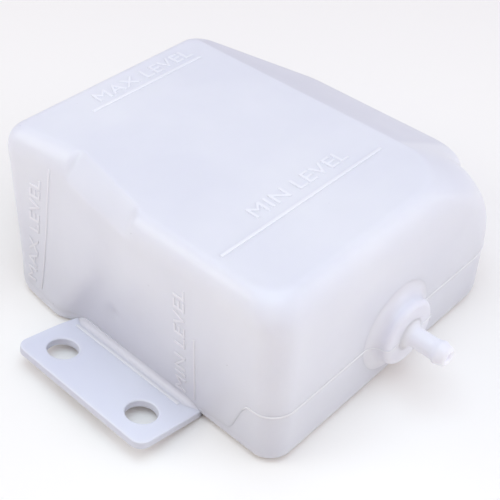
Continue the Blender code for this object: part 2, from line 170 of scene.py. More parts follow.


# %% [markdown]
# ## Plastic
#
# The tank is natural polyethylene: milky, a little bluish, and lit from within because
# light wanders through the wall. Subsurface scattering gives that. The mould leaves a
# very fine grain and slow waves where the wall cooled unevenly. One node group makes
# these patterns and a second one makes the colour, with painted shade towards the foot,
# on faces that don't look up and on the far shoulder. Every plastic places both with its
# own values.

# %% Group: moulded skin
def make_skin_group():
    """Patterns of the moulded skin: fine grain, slow waves, clouds and rare flecks."""
    group = bpy.data.node_groups.new("moulded_skin", "ShaderNodeTree")
    face = group.interface
    for name, value in (("Grain Scale", 2600.0), ("Wave Scale", 34.0), ("Fleck Scale", 210.0)):
        socket = face.new_socket(name=name, in_out="INPUT", socket_type="NodeSocketFloat")
        socket.default_value = value
    for name in ("Grain", "Wave", "Fleck", "Cloud"):
        face.new_socket(name=name, in_out="OUTPUT", socket_type="NodeSocketFloat")
    node, link = group.nodes.new, group.links.new
    entry, leave = node("NodeGroupInput"), node("NodeGroupOutput")
    place = node("ShaderNodeTexCoord")

    grain = node("ShaderNodeTexNoise")
    grain.inputs["Detail"].default_value = 3.0
    grain.inputs["Roughness"].default_value = 0.65
    link(place.outputs["Object"], grain.inputs["Vector"])
    link(entry.outputs["Grain Scale"], grain.inputs["Scale"])
    link(grain.outputs["Fac"], leave.inputs["Grain"])

    wave = node("ShaderNodeTexNoise")
    wave.inputs["Detail"].default_value = 1.5
    wave.inputs["Roughness"].default_value = 0.45
    link(place.outputs["Object"], wave.inputs["Vector"])
    link(entry.outputs["Wave Scale"], wave.inputs["Scale"])
    link(wave.outputs["Fac"], leave.inputs["Wave"])

    cloud = node("ShaderNodeTexNoise")
    cloud.inputs["Scale"].default_value = 14.0
    cloud.inputs["Detail"].default_value = 4.0
    link(place.outputs["Object"], cloud.inputs["Vector"])
    link(cloud.outputs["Fac"], leave.inputs["Cloud"])

    cells = node("ShaderNodeTexVoronoi")
    link(place.outputs["Object"], cells.inputs["Vector"])
    link(entry.outputs["Fleck Scale"], cells.inputs["Scale"])
    size = node("ShaderNodeMapRange")
    size.inputs["From Min"].default_value = 0.055
    size.inputs["From Max"].default_value = 0.035
    link(cells.outputs["Distance"], size.inputs["Value"])
    parts = node("ShaderNodeSeparateColor")
    link(cells.outputs["Color"], parts.inputs["Color"])
    rare = node("ShaderNodeMath")
    rare.operation = "GREATER_THAN"
    rare.inputs[1].default_value = 0.90
    link(parts.outputs["Red"], rare.inputs[0])
    mask = node("ShaderNodeMath")
    mask.operation = "MULTIPLY"
    link(size.outputs["Result"], mask.inputs[0])
    link(rare.outputs["Value"], mask.inputs[1])
    link(mask.outputs["Value"], leave.inputs["Fleck"])
    return group


skin_group = make_skin_group()
print("skin outputs:", [s.name for s in skin_group.interface.items_tree if s.in_out == "OUTPUT"])

# %% Group: moulded tone
# Painted shade: the foot darkens between these two heights, and the far shoulder from its edge
# to its end.
FOOT_SHADE_LOW_Z, FOOT_SHADE_HIGH_Z = -0.010, 0.080
SHOULDER_EDGE_Y = 0.1084
SHOULDER_SHADE_END_X = -0.0380


def make_tone_group():
    """The colour of moulded plastic: clouds between light and shade, with rare flecks.

    The foot of the tank is painted shade, darker towards the bottom, and faces that don't
    look up get painted shade as well. The sloping shoulder gets painted shade too, since its
    wall turns away from the lit front."""
    group = bpy.data.node_groups.new("moulded_tone", "ShaderNodeTree")
    face = group.interface
    for name in ("Light", "Shade", "Fleck Colour"):
        face.new_socket(name=name, in_out="INPUT", socket_type="NodeSocketColor")
    for name in ("Cloud", "Fleck", "Foot Shade", "Side Shade"):
        face.new_socket(name=name, in_out="INPUT", socket_type="NodeSocketFloat")
    face.new_socket(name="Colour", in_out="OUTPUT", socket_type="NodeSocketColor")
    node, link = group.nodes.new, group.links.new
    entry, leave = node("NodeGroupInput"), node("NodeGroupOutput")

    def ramp(value, start, end):
        """A map range over a value, from 0 at the start to 1 at the end."""
        mapped = node("ShaderNodeMapRange")
        mapped.inputs["From Min"].default_value = start
        mapped.inputs["From Max"].default_value = end
        link(value, mapped.inputs["Value"])
        return mapped

    def product(first, second):
        """Two values multiplied."""
        times = node("ShaderNodeMath")
        times.operation = "MULTIPLY"
        link(first, times.inputs[0])
        link(second, times.inputs[1])
        return times.outputs["Value"]

    def mixed(blend, base):
        """A colour mix over a base colour."""
        mix = node("ShaderNodeMix")
        mix.data_type = "RGBA"
        mix.blend_type = blend
        link(base, mix.inputs[6])
        return mix

    place = node("ShaderNodeTexCoord")
    spot, facing = node("ShaderNodeSeparateXYZ"), node("ShaderNodeSeparateXYZ")
    link(place.outputs["Object"], spot.inputs["Vector"])
    link(place.outputs["Normal"], facing.inputs["Vector"])

    clouds = mixed("MIX", entry.outputs["Shade"])
    link(entry.outputs["Light"], clouds.inputs[7])
    link(ramp(entry.outputs["Cloud"], 0.35, 0.65).outputs["Result"], clouds.inputs["Factor"])
    flecks = mixed("MIX", clouds.outputs[2])
    link(entry.outputs["Fleck Colour"], flecks.inputs[7])
    link(entry.outputs["Fleck"], flecks.inputs["Factor"])

    # Painted shade towards the foot and on faces that don't look up.
    foot = ramp(spot.outputs["Z"], FOOT_SHADE_LOW_Z, FOOT_SHADE_HIGH_Z)
    foot.interpolation_type = "SMOOTHSTEP"
    link(entry.outputs["Foot Shade"], foot.inputs["To Min"])
    side_shade_mask = ramp(facing.outputs["Z"], 0.30, 0.80)
    link(entry.outputs["Side Shade"], side_shade_mask.inputs["To Min"])
    deep = mixed("MULTIPLY", flecks.outputs[2])
    deep.inputs["Factor"].default_value = 1.0
    link(product(foot.outputs["Result"], side_shade_mask.outputs["Result"]), deep.inputs[7])

    # Painted shade on the sloping far shoulder: a grey multiplied in from its edge to its end.
    edge, end = origin.y + SHOULDER_EDGE_Y, origin.x + SHOULDER_SHADE_END_X
    past_edge = ramp(spot.outputs["Y"], edge - 0.0002, edge + 0.0014)
    before_end = ramp(spot.outputs["X"], end + 0.004, end)
    shoulder_shade = mixed("MULTIPLY", deep.outputs[2])
    shoulder_shade.inputs[7].default_value = (0.89, 0.89, 0.91, 1.0)
    sloping = product(past_edge.outputs["Result"], before_end.outputs["Result"])
    link(sloping, shoulder_shade.inputs["Factor"])
    link(shoulder_shade.outputs[2], leave.inputs["Colour"])
    return group


tone_group = make_tone_group()
print("tone inputs:", [s.name for s in tone_group.interface.items_tree if s.in_out == "INPUT"])

# %% Material: moulded plastic
def moulded(name, light, shade, rough, glow=0.0, grain=0.00002, wave=0.0006, fleck=0.35,
            low=1.0, side_shade=1.0):
    """Plastic from the two groups, with fine grain, slow waves and some inner glow.

    Grain and wave are bump heights. Fleck is how dark the flecks are. The last two values
    set the painted shade: at the foot, and on faces that don't look up."""
    material = bpy.data.materials.new(name)
    material.use_nodes = True
    node, link = material.node_tree.nodes.new, material.node_tree.links.new
    shader = material.node_tree.nodes["Principled BSDF"]
    skin, tone = node("ShaderNodeGroup"), node("ShaderNodeGroup")
    skin.node_tree = skin_group
    tone.node_tree = tone_group
    tone.inputs["Light"].default_value = (*light, 1.0)
    tone.inputs["Shade"].default_value = (*shade, 1.0)
    tone.inputs["Fleck Colour"].default_value = (*[v * (1.0 - fleck) for v in shade], 1.0)
    tone.inputs["Foot Shade"].default_value = low
    tone.inputs["Side Shade"].default_value = side_shade
    link(skin.outputs["Cloud"], tone.inputs["Cloud"])
    link(skin.outputs["Fleck"], tone.inputs["Fleck"])
    link(tone.outputs["Colour"], shader.inputs["Base Color"])

    polish = node("ShaderNodeMapRange")
    polish.inputs["To Min"].default_value = rough - 0.05
    polish.inputs["To Max"].default_value = rough + 0.07
    link(skin.outputs["Grain"], polish.inputs["Value"])
    link(polish.outputs["Result"], shader.inputs["Roughness"])

    slow, fine = node("ShaderNodeBump"), node("ShaderNodeBump")
    for bump, height, output in ((slow, wave, "Wave"), (fine, grain, "Grain")):
        bump.inputs["Distance"].default_value = height
        bump.inputs["Strength"].default_value = 1.0
        link(skin.outputs[output], bump.inputs["Height"])
    link(slow.outputs["Normal"], fine.inputs["Normal"])
    link(fine.outputs["Normal"], shader.inputs["Normal"])

    shader.inputs["IOR"].default_value = 1.50
    if glow > 0.0:
        shader.inputs["Subsurface Weight"].default_value = glow
        shader.inputs["Subsurface Radius"].default_value = (1.0, 0.96, 1.05)
        shader.inputs["Subsurface Scale"].default_value = 0.0035
    return material


# %% [markdown]
# The walls glow most. Thin marks and lines are sunk in the wall, where scattered light
# would be lost, so they have no glow and are painted a little lighter instead: painted
# light. On the side wall, the marks hardly show, so they take a fainter colour, also
# painted lighter. The flange is painted darker than the walls, which is painted shade, and
# the boss and the flange root take less of the painted shade at the foot.

# %% Milky plastics
# Painted shade darkens each plastic towards the foot, and the flange also on faces that don't
# look up.
milky = moulded("milky_polyethylene", (0.86, 0.88, 0.95), (0.80, 0.82, 0.90), 0.32, 0.45,
                low=0.76)
milky_boss = moulded("milky_polyethylene_boss", (0.87, 0.88, 0.94), (0.82, 0.83, 0.90), 0.32,
                     0.40, low=0.90)
# The flange is painted darker than the walls: painted shade.
milky_flange = moulded("milky_polyethylene_flange", (0.785, 0.81, 0.885), (0.735, 0.755, 0.84),
                       0.38, 0.35, side_shade=0.84)
# Marks and lines are painted lighter than the walls: painted light.
milky_mark = moulded("milky_polyethylene_mark", (0.91, 0.925, 0.97), (0.87, 0.89, 0.94), 0.36)
milky_faint = moulded("milky_polyethylene_faint", (0.92, 0.93, 0.98), (0.89, 0.90, 0.95), 0.36,
                      low=0.76)
milky_line = moulded("milky_polyethylene_line", (0.94, 0.95, 0.98), (0.91, 0.92, 0.96), 0.36,
                     low=0.84)
milky_all = (milky, milky_boss, milky_flange, milky_mark, milky_faint, milky_line)
print("milky plastics:", [m.name for m in milky_all])

# %% White stub, black cap, rubbers
white_stub = moulded("white_polyethylene", (0.88, 0.89, 0.94), (0.83, 0.84, 0.90), 0.33, 0.40)
black_cap = moulded("black_polypropylene", (0.022, 0.022, 0.025), (0.014, 0.014, 0.016), 0.40,
                    grain=0.00003, wave=0.0001, fleck=0.0)
black_rubber = moulded("black_rubber", (0.026, 0.026, 0.028), (0.018, 0.018, 0.020), 0.72,
                       grain=0.00004, wave=0.0, fleck=0.0)
red_silicone = moulded("red_silicone", (0.40, 0.06, 0.035), (0.30, 0.04, 0.025), 0.52,
                       grain=0.00002, wave=0.0, fleck=0.0)
print("other plastics:", [m.name for m in (white_stub, black_cap, black_rubber, red_silicone)])

# %% [markdown]
# ## The form of the tank
#
# A blown tank has no two corners alike, so its surface is described by rules, as a mould
# maker's level sections are. Each section is a rounded outline at one height. The near
# wall is drawn in towards the front at the filler end, and the far wall slopes as a
# shoulder that ends in a rounded bulge. The rules are the drawing's own, with the kinks
# between straight runs eased. Each wall is a list of (x, y) points joined by straight
# runs, at the back or at the front.

# %% Runs and easing
NEAR_BACK = [(TOP_X, -0.0090), (-0.1270, -0.0128), (-0.1176, -0.0068), (0.1, -0.0068)]
NEAR_FRONT = [(TOP_X, -0.0030), (-0.1275, 0.0034), (-0.0800, -0.0060), (0.1, -0.0060)]
FAR_WALL = [(TOP_X, 0.1205), (-0.1168, 0.1530), (-0.0448, 0.1520), (0.1, 0.1520)]


def step(t):
    """An even start and an even stop between 0 and 1."""
    t = min(1.0, max(0.0, t))
    return t * t * (3.0 - 2.0 * t)


def between(x, x0, x1, a, b):
    """From a at x0 to b at x1, with an even start and stop."""
    return a + (b - a) * step((x - x0) / (x1 - x0))


def soft_min(a, b, width):
    """The smaller of two, with the change from one to the other rounded off."""
    overlap = max(0.0, width - abs(a - b))
    return min(a, b) - overlap * overlap / (4.0 * width)


def run(x, points):
    """Straight runs through (x, value) points."""
    for (xa, va), (xb, vb) in zip(points, points[1:]):
        if x <= xb:
            return va + (vb - va) * max(0.0, x - xa) / (xb - xa)
    return points[-1][1]


def eased(x, points, reach=0.0030):
    """The same runs with their kinks rounded off."""
    spots = [run(x + reach * k / 3.0, points) for k in range(-3, 4)]
    return sum(spots) / len(spots)


print("far wall at mid length:", round(eased(-0.08, FAR_WALL), 4))

# %% Rounded edges of the body
BACK_RADIUS = 0.0050
RISE_OUT, RUN_OUT = 0.0184, 0.0104
RISE_SIDE, RUN_SIDE = 0.0112, 0.0080
RISE_TOP = 0.0056


def round_in(z, rise, width):
    """How far a rounded front edge has pulled a wall in at height z."""
    u = min(1.0, max(0.0, (z - (depth - rise)) / rise))
    return width * (1.0 - math.sqrt(1.0 - u * u))


def back_in(z):
    """The same for the small radius round the back."""
    u = min(1.0, max(0.0, (BACK_RADIUS - z) / BACK_RADIUS))
    return BACK_RADIUS * (1.0 - math.sqrt(1.0 - u * u))


print("front edge at the outlet:", RISE_OUT, "high,", RUN_OUT, "deep")

# %% Near wall
KINK_LEAN = 0.6
KINK_Z, KINK_TALL = 0.006, 0.034
KINK_REACH = 0.0042
CHAMFER_START = (-0.1290, -0.1250)
CHAMFER_END = (-0.0840, -0.0780)
CHAMFER_BOW = (1.18, 0.85)


def near_y(x, z):
    """The wall with the flange. Its kink leans towards the outlet as it rises, and its
    front edge is a flatter chamfer in mid length."""
    leaned = x - KINK_LEAN * min(KINK_TALL, max(0.0, z - KINK_Z))
    foot = eased(leaned, NEAR_BACK, KINK_REACH)
    y = foot + (eased(x, NEAR_FRONT) - foot) * z / depth
    u = min(1.0, max(0.0, (z - (depth - RISE_SIDE)) / RISE_SIDE))
    flat = RUN_SIDE * (1.0 - (1.0 - u ** CHAMFER_BOW[0]) ** CHAMFER_BOW[1])
    share = between(x, *CHAMFER_START, 0.0, 1.0) * between(x, *CHAMFER_END, 1.0, 0.0)
    return y + (1.0 - share) * round_in(z, RISE_SIDE, RUN_SIDE) + share * flat + back_in(z)


print("near wall at mid length:", round(near_y(-0.08, 0.04), 4))

# %% [markdown]
# Beyond the front face the far wall first slopes down gently. In mid length it goes on
# to the bulge. At the outlet end it breaks into a steeper fall and then a plain wall.

# %% Far wall
SHOULDER = math.radians(28.0)
STEEP = math.radians(50.0)
BREAK_Y, BREAK_Z = 0.1280, 0.0735
FAR_BASE_Y = 0.1515
BULGE_X0, BULGE_X1 = -0.0440, -0.0236
EDGE_RADIUS = 0.0060
SOFT_EDGE, SOFT_FOOT = 0.0060, 0.0120


def slope_y(z, angle):
    """A slope that leaves the flat front face by a small radius."""
    down = depth - z
    drop = EDGE_RADIUS * (1.0 - math.cos(angle))
    ease = EDGE_RADIUS * math.tan(angle / 2.0)
    start = SHOULDER_EDGE_Y - ease
    if down < drop:
        return start + math.sqrt(max(0.0, 2.0 * EDGE_RADIUS * down - down * down))
    return start + EDGE_RADIUS * math.sin(angle) + (down - drop) / math.tan(angle)


def far_y(x, z):
    """The far wall: a shoulder over a bulge that stops short of the outlet end."""
    bulge = soft_min(slope_y(z, SHOULDER), eased(x, FAR_WALL), SOFT_EDGE)
    fall = BREAK_Y + (BREAK_Z - z) / math.tan(STEEP)
    plain = soft_min(slope_y(z, SHOULDER), fall, SOFT_EDGE)
    plain = soft_min(plain, FAR_BASE_Y, SOFT_FOOT)
    u = min(1.0, max(0.0, (x - BULGE_X0) / (BULGE_X1 - BULGE_X0)))
    return plain + math.sqrt(1.0 - u * u) * (bulge - plain) - back_in(z)


print("far wall at mid length:", round(far_y(-0.08, 0.04), 4))

# %% Height of the seam
def seam_height(x):
    """The mould line: high across the outlet end, low along the sides."""
    if x > -0.0260:
        return between(x, -0.0260, -0.0144, 0.0080, AXIS_Z)
    if x > -0.0600:
        return between(x, -0.0400, -0.0260, 0.0064, 0.0080)
    return between(x, -0.1560, -0.1220, 0.0084, 0.0064)


print("seam at the outlet:", round(seam_height(0.0), 4))

# %% [markdown]
# ## A point on the outline
#
# One number runs round the section: four corners and four sides, each with its own share
# of the points. The same function serves every height, which is what lets the raised
# seam follow a line that is not level.

# %% The outline
CORNER_A, SIDE_NEAR, CORNER_B, SIDE_OUT = 14, 124, 14, 62
CORNER_C, SIDE_FAR, CORNER_D, SIDE_TOP = 26, 110, 10, 56
RING = CORNER_A + SIDE_NEAR + CORNER_B + SIDE_OUT + CORNER_C + SIDE_FAR + CORNER_D + SIDE_TOP


def outline(k, z):
    """Position of point k of the ring at height z. The radii of the corners at the near
    wall, ra and rb, change a little with height."""
    x0 = TOP_X + round_in(z, RISE_TOP, RISE_TOP) + back_in(z)
    x1 = BOTTOM_X - round_in(z, RISE_OUT, RUN_OUT) - back_in(z)
    level = z / depth
    ra = 0.0145 - 0.0085 * level
    rb = 0.0104 + 0.0024 * level
    rc, rd = 0.0230, 0.0056
    if k < CORNER_A:
        a = math.pi / 2 * k / CORNER_A
        x = x0 + ra * (1 - math.cos(a))
        return x, near_y(x, z) + ra * (1 - math.sin(a)), z
    k -= CORNER_A
    if k < SIDE_NEAR:
        x = x0 + ra + (x1 - rb - x0 - ra) * k / SIDE_NEAR
        return x, near_y(x, z), z
    k -= SIDE_NEAR
    if k < CORNER_B:
        a = math.pi / 2 * (1 - k / CORNER_B)
        x = x1 - rb * (1 - math.cos(a))
        return x, near_y(x, z) + rb * (1 - math.sin(a)), z
    k -= CORNER_B
    low, high = near_y(x1, z) + rb, far_y(x1, z) - rc
    if k < SIDE_OUT:
        return x1, low + (high - low) * k / SIDE_OUT, z
    k -= SIDE_OUT
    if k < CORNER_C:
        a = math.pi / 2 * k / CORNER_C
        x = x1 - rc * (1 - math.cos(a))
        return x, far_y(x, z) - rc * (1 - math.sin(a)), z
    k -= CORNER_C
    if k < SIDE_FAR:
        x = x1 - rc + (x0 + rd - x1 + rc) * k / SIDE_FAR
        return x, far_y(x, z), z
    k -= SIDE_FAR
    if k < CORNER_D:
        a = math.pi / 2 * (1 - k / CORNER_D)
        x = x0 + rd * (1 - math.cos(a))
        return x, far_y(x, z) - rd * (1 - math.sin(a)), z
    k -= CORNER_D
    high, low = far_y(x0, z) - rd, near_y(x0, z) + ra
    return x0, high + (low - high) * k / SIDE_TOP, z


print("points round the outline:", RING)

# %% [markdown]
# ## Rows of the two half shells
#
# The two halves meet where the mould closed, and a thin raised line runs over the joint.
# It is a band of its own that follows the same outline. Rows crowd together at the
# rounded edges and spread out on the plain wall. A row may stand off the wall by a share
# of the line's height, so the rear half runs on behind the front half, where it is sunk.

# %% Heights of the rows
LINE_HIGH = 0.00036
LINE = ((-0.00060, -1.0), (-0.00045, 0.3), (-0.00028, 0.85), (0.0, 1.0), (0.00022, 0.9),
        (0.00040, 0.4), (0.00050, -1.0), (-0.00060, -1.0))


def rear_rows(seam):
    """Height and seam share of each row, from the back up to the seam."""
    rows = [(BACK_RADIUS * (1 - math.cos(math.pi / 2 * j / 8)), 0.0) for j in range(9)]
    top = seam - 0.00030
    rows += [(BACK_RADIUS + (top - BACK_RADIUS) * j / 12, 0.0) for j in range(1, 13)]
    return rows + [(seam, -0.06), (seam + 0.00030, -0.50)]


def front_rows(seam):
    """The same from the seam up to the front face."""
    rows = [(seam + 0.00001, 0.0)]
    low, start = rows[-1][0], depth - RISE_OUT
    rows += [(low + (start - low) * j / 38, 0.0) for j in range(1, 39)]
    rows += [(start + RISE_OUT * math.sin(math.pi / 2 * j / 30), 0.0) for j in range(1, 31)]
    return rows


def line_rows(seam):
    """A thin closed band that stands on the wall over the joint."""
    return [(seam + away, share) for away, share in LINE]


print("rows of the halves:", len(rear_rows(AXIS_Z)), len(front_rows(AXIS_Z)))

# %% [markdown]
# The flange covers most of the mould line along the near wall, and the rest fades away
# there, so it is sunk up to a corner's length from the outlet end. Two soft dents, as
# (x, z, size, depth), are small pushes along the wall's own normal.

# %% Grids of points
FLANGE_X0, FLANGE_X1 = -0.1200, -0.0404
DENTS = ((-0.0944, 0.0224, 0.0046, 0.0015), (-0.1250, 0.0180, 0.0100, 0.0008))
NEAR_POINTS = CORNER_A + SIDE_NEAR
SUNK_TO_X = -0.0170
SUNK_SHARE = -0.4
SEAM_LOOK_Z = 0.03


def wall_grid(rows):
    """Rows by ring points, with the seam and the dents pushed along the normal."""
    count = len(rows(AXIS_Z))
    grid = np.zeros((count, RING, 3))
    lift = np.zeros((count, RING))
    for k in range(RING):
        seam = seam_height(outline(k, SEAM_LOOK_Z)[0])
        for j, (z, share) in enumerate(rows(seam)):
            grid[j, k] = outline(k, z)
            x = grid[j, k, 0]
            sunk = share and k < NEAR_POINTS and x < SUNK_TO_X
            lift[j, k] = min(share, SUNK_SHARE if sunk else 1.0) * LINE_HIGH
            if k < NEAR_POINTS:
                for dx, dz, size, deep in DENTS:
                    away = ((x - dx) ** 2 + (z - dz) ** 2) / size ** 2
                    lift[j, k] -= deep * math.exp(-away)
    around = np.roll(grid, -1, axis=1) - np.roll(grid, 1, axis=1)
    side = np.stack([around[..., 1], -around[..., 0], np.zeros(around.shape[:2])], axis=-1)
    side /= np.linalg.norm(side, axis=-1, keepdims=True)
    grid = grid + side * lift[..., None] + np.array(origin)
    return np.clip(grid, np.array(cad_box[0]), np.array(cad_box[1]))


row_rules = {"rear": rear_rows, "front": front_rows, "line": line_rows}
grids = {name: wall_grid(rows) for name, rows in row_rules.items()}
print("grids:", {name: grid.shape for name, grid in grids.items()})

# %% [markdown]
# ## Raising the half shells
#
# A circle primitive with as many points as the outline is extruded up once for each row.
# Every point then knows its place: its angle is its number round the outline and its
# height is its row. Solidify gives the wall its thickness, so each half is a real shell.

# %% Loft
def loft(grid, caps):
    """Extrude a circle row by row, close the first, last or both ends, place the points."""
    count, ring = grid.shape[:2]
    bpy.ops.object.select_all(action="DESELECT")
    bpy.ops.mesh.primitive_circle_add(vertices=ring, radius=1.0)
    piece = bpy.context.object
    bpy.ops.object.mode_set(mode="EDIT")
    bpy.ops.mesh.select_all(action="SELECT")
    if caps in ("first", "both"):
        bpy.ops.mesh.edge_face_add()
        bpy.ops.mesh.select_mode(type="EDGE")
    for _ in range(count - 1):
        bpy.ops.mesh.extrude_edges_move(TRANSFORM_OT_translate={"value": (0.0, 0.0, 1.0)})
    if caps in ("last", "both"):
        bpy.ops.mesh.edge_face_add()
    bpy.ops.object.mode_set(mode="OBJECT")
    for vert in piece.data.vertices:
        turn = math.atan2(vert.co.y, vert.co.x) / math.tau
        k = round(turn * ring) % ring
        vert.co = grid[round(vert.co.z), k]
    return piece


def face_out(piece):
    """Turn the faces outwards: the biggest one faces away from the middle."""
    outward(piece)
    flat = max(piece.data.polygons, key=lambda face: face.area)
    middle = sum((v.co for v in piece.data.vertices), Vector()) / len(piece.data.vertices)
    if flat.normal.dot(flat.center - middle) < 0.0:
        choose(piece)
        bpy.ops.object.mode_set(mode="EDIT")
        bpy.ops.mesh.select_all(action="SELECT")
        bpy.ops.mesh.flip_normals()
        bpy.ops.object.mode_set(mode="OBJECT")


def thicken(piece, wall):
    """Give an open shell its wall, inwards."""
    solid = piece.modifiers.new("wall", "SOLIDIFY")
    solid.thickness = wall
    solid.offset = -1.0
    solid.use_even_offset = False
    harden(piece, solid)


# %% Half shells
CAP_INSET = 0.0020
front_half = loft(grids["front"], "last")
face_out(front_half)
rear_half = loft(grids["rear"], "first")
face_out(rear_half)
for half in (front_half, rear_half):
    pick(half, "FACE", lambda face: len(face.vertices) > 4)
    bpy.ops.mesh.inset(thickness=CAP_INSET, depth=0.0)
    bpy.ops.object.mode_set(mode="OBJECT")
    thicken(half, WALL)
    print("half shell points:", len(half.data.vertices))

# %% [markdown]
# ## Openings in the halves
#
# The filler end wall is open under the neck, and the outlet end wall is open behind the
# boss. A plain cylinder cuts each hole.

# %% Cut the holes
NECK_HOLE_R, OUTLET_HOLE_R = 0.0161, 0.0134
ALONG_X = Vector((1.0, 0.0, 0.0))


def rod(where, way, radius, length, sides=64):
    """A cylinder primitive laid along a direction."""
    bpy.ops.object.select_all(action="DESELECT")
    bpy.ops.mesh.primitive_cylinder_add(vertices=sides, radius=radius, depth=length)
    piece = bpy.context.object
    piece.rotation_mode = "QUATERNION"
    piece.rotation_quaternion = Vector((0, 0, 1)).rotation_difference(way)
    piece.location = where
    settle(piece)
    return piece


neck_low, neck_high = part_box("filler_neck")
neck_axis = Vector((
    shell_low.x, (neck_low.y + neck_high.y) / 2, (neck_low.z + neck_high.z) / 2,
))
outlet = Vector((origin.x, origin.y + OUTLET_Y, AXIS_Z))
boss_face = shell_high.x
wall_x = origin.x + BOTTOM_X
for half in (front_half, rear_half):
    boolean(half, rod(neck_axis, ALONG_X, NECK_HOLE_R, 0.010), "DIFFERENCE")
    boolean(half, rod(outlet, ALONG_X, OUTLET_HOLE_R, 0.012), "DIFFERENCE")

# %% Finish the halves and their mould line
finish_piece(front_half, "front_moulding", "tank", milky)
finish_piece(rear_half, "rear_moulding", "tank", milky)
mould_line = loft(grids["line"], "none")
outward(mould_line)
finish_piece(mould_line, "mould_line", "tank", milky_line, 50.0)
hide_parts("front_shell")
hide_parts("rear_shell")

# %% [markdown]
# ## Turned pieces
#
# A turned piece is a circle that is extruded along its axis and resized at every step of
# its profile. A profile that comes back to its first point makes a bored ring, which is
# welded shut. It is built along +Z and then laid along its real axis.

# %% Turn
def turned(profile, where, way, sides=72, bored=False):
    """Turn a profile of (height, radius) points, then lay it along its axis."""
    bpy.ops.object.select_all(action="DESELECT")
    first = profile[0]
    place = (0.0, 0.0, first[0])
    bpy.ops.mesh.primitive_circle_add(vertices=sides, radius=first[1], location=place)
    piece = bpy.context.object
    settle(piece)
    bpy.ops.object.mode_set(mode="EDIT")
    bpy.ops.mesh.select_all(action="SELECT")
    if not bored:
        bpy.ops.mesh.edge_face_add()
        bpy.ops.mesh.select_mode(type="EDGE")
    for (s0, r0), (s1, r1) in zip(profile, profile[1:]):
        rise, grow = (0.0, 0.0, s1 - s0), (r1 / r0, r1 / r0, 1.0)
        bpy.ops.mesh.extrude_edges_move(TRANSFORM_OT_translate={"value": rise})
        bpy.ops.transform.resize(value=grow, center_override=(0.0, 0.0, s1))
    if not bored:
        bpy.ops.mesh.edge_face_add()
    bpy.ops.object.mode_set(mode="OBJECT")
    outward(piece)
    piece.rotation_mode = "QUATERNION"
    piece.rotation_quaternion = Vector((0, 0, 1)).rotation_difference(way)
    piece.location = where
    settle(piece)
    return piece


def arc(s, r, radius, a0, a1, count):
    """Points of an arc in a profile, centre (s, r), angles in degrees from the axis."""
    spots = []
    for j in range(count + 1):
        a = math.radians(a0 + (a1 - a0) * j / count)
        spots.append((s + radius * math.cos(a), r + radius * math.sin(a)))
    return spots


# %% [markdown]
# ## Outlet boss and hose stub
#
# The boss is a short round pad that flares into the end wall with a wide hollow radius,
# so no crease shows. The stub stands on it with a small radius of its own, and ends in a
# rounded barb that holds the hose. Its wall is thin, and its bore is lit by a faint painted
# glow, which is painted light.

# %% Boss
BOSS_R, BOSS_BORE_R = 0.0156, 0.0049
BOSS_RIM = 0.0026
FLARE, FLARE_WIDE = 0.0048, 1.35
SUNK_IN_WALL = 0.0014
boss_top = boss_face - outlet.x
wall_s = wall_x - outlet.x


def flare(from_wall, count):
    """The hollow radius from the wall to the boss, wider than it is high."""
    spots = arc(wall_s - from_wall + FLARE, BOSS_R + FLARE, FLARE, 180.0, 270.0, count)
    return [(s, BOSS_R + (r - BOSS_R) * FLARE_WIDE) for s, r in spots]


profile = [(wall_s - SUNK_IN_WALL, BOSS_R + FLARE * FLARE_WIDE)]
profile += flare(0.00002, 24)
profile += arc(boss_top - BOSS_RIM, BOSS_R - BOSS_RIM, BOSS_RIM, 90.0, 0.0, 12)
profile += [(boss_top, 0.0080), (boss_top, BOSS_BORE_R)]
profile += [(wall_s - SUNK_IN_WALL, BOSS_BORE_R), profile[0]]
boss = turned(profile, outlet, ALONG_X, 112, bored=True)
finish_piece(boss, "outlet_boss", "tank", milky_boss)

# %% Painted light in the bore
# Painted light: the radius and strength of the glow in the stub's bore.
PAINTED_BORE_GLOW_R = 0.0031
PAINTED_BORE_GLOW = 0.20


def paint_bore_light(material, axis, radius, strength):
    """Paint a faint glow into the bore of the thin-walled stub: painted light, by emission."""
    tree = material.node_tree
    node, link = tree.nodes.new, tree.links.new
    place = node("ShaderNodeTexCoord")
    from_axis = node("ShaderNodeVectorMath")
    from_axis.operation = "SUBTRACT"
    from_axis.inputs[1].default_value = axis
    link(place.outputs["Object"], from_axis.inputs[0])
    across = node("ShaderNodeVectorMath")
    across.operation = "MULTIPLY"
    across.inputs[1].default_value = (0.0, 1.0, 1.0)
    link(from_axis.outputs["Vector"], across.inputs[0])
    length = node("ShaderNodeVectorMath")
    length.operation = "LENGTH"
    link(across.outputs["Vector"], length.inputs[0])
    mask = node("ShaderNodeMapRange")
    mask.inputs["From Min"].default_value = radius + 0.0002
    mask.inputs["From Max"].default_value = radius
    link(length.outputs["Value"], mask.inputs["Value"])
    # The colour of the painted light in the bore.
    tint = node("ShaderNodeMix")
    tint.data_type = "RGBA"
    tint.inputs[6].default_value = (0.0, 0.0, 0.0, 1.0)
    tint.inputs[7].default_value = (0.52, 0.51, 0.58, 1.0)
    link(mask.outputs["Result"], tint.inputs["Factor"])
    shader = tree.nodes["Principled BSDF"]
    link(tint.outputs[2], shader.inputs["Emission Color"])
    shader.inputs["Emission Strength"].default_value = strength


paint_bore_light(white_stub, outlet, PAINTED_BORE_GLOW_R, PAINTED_BORE_GLOW)
print("bore glow:", PAINTED_BORE_GLOW)

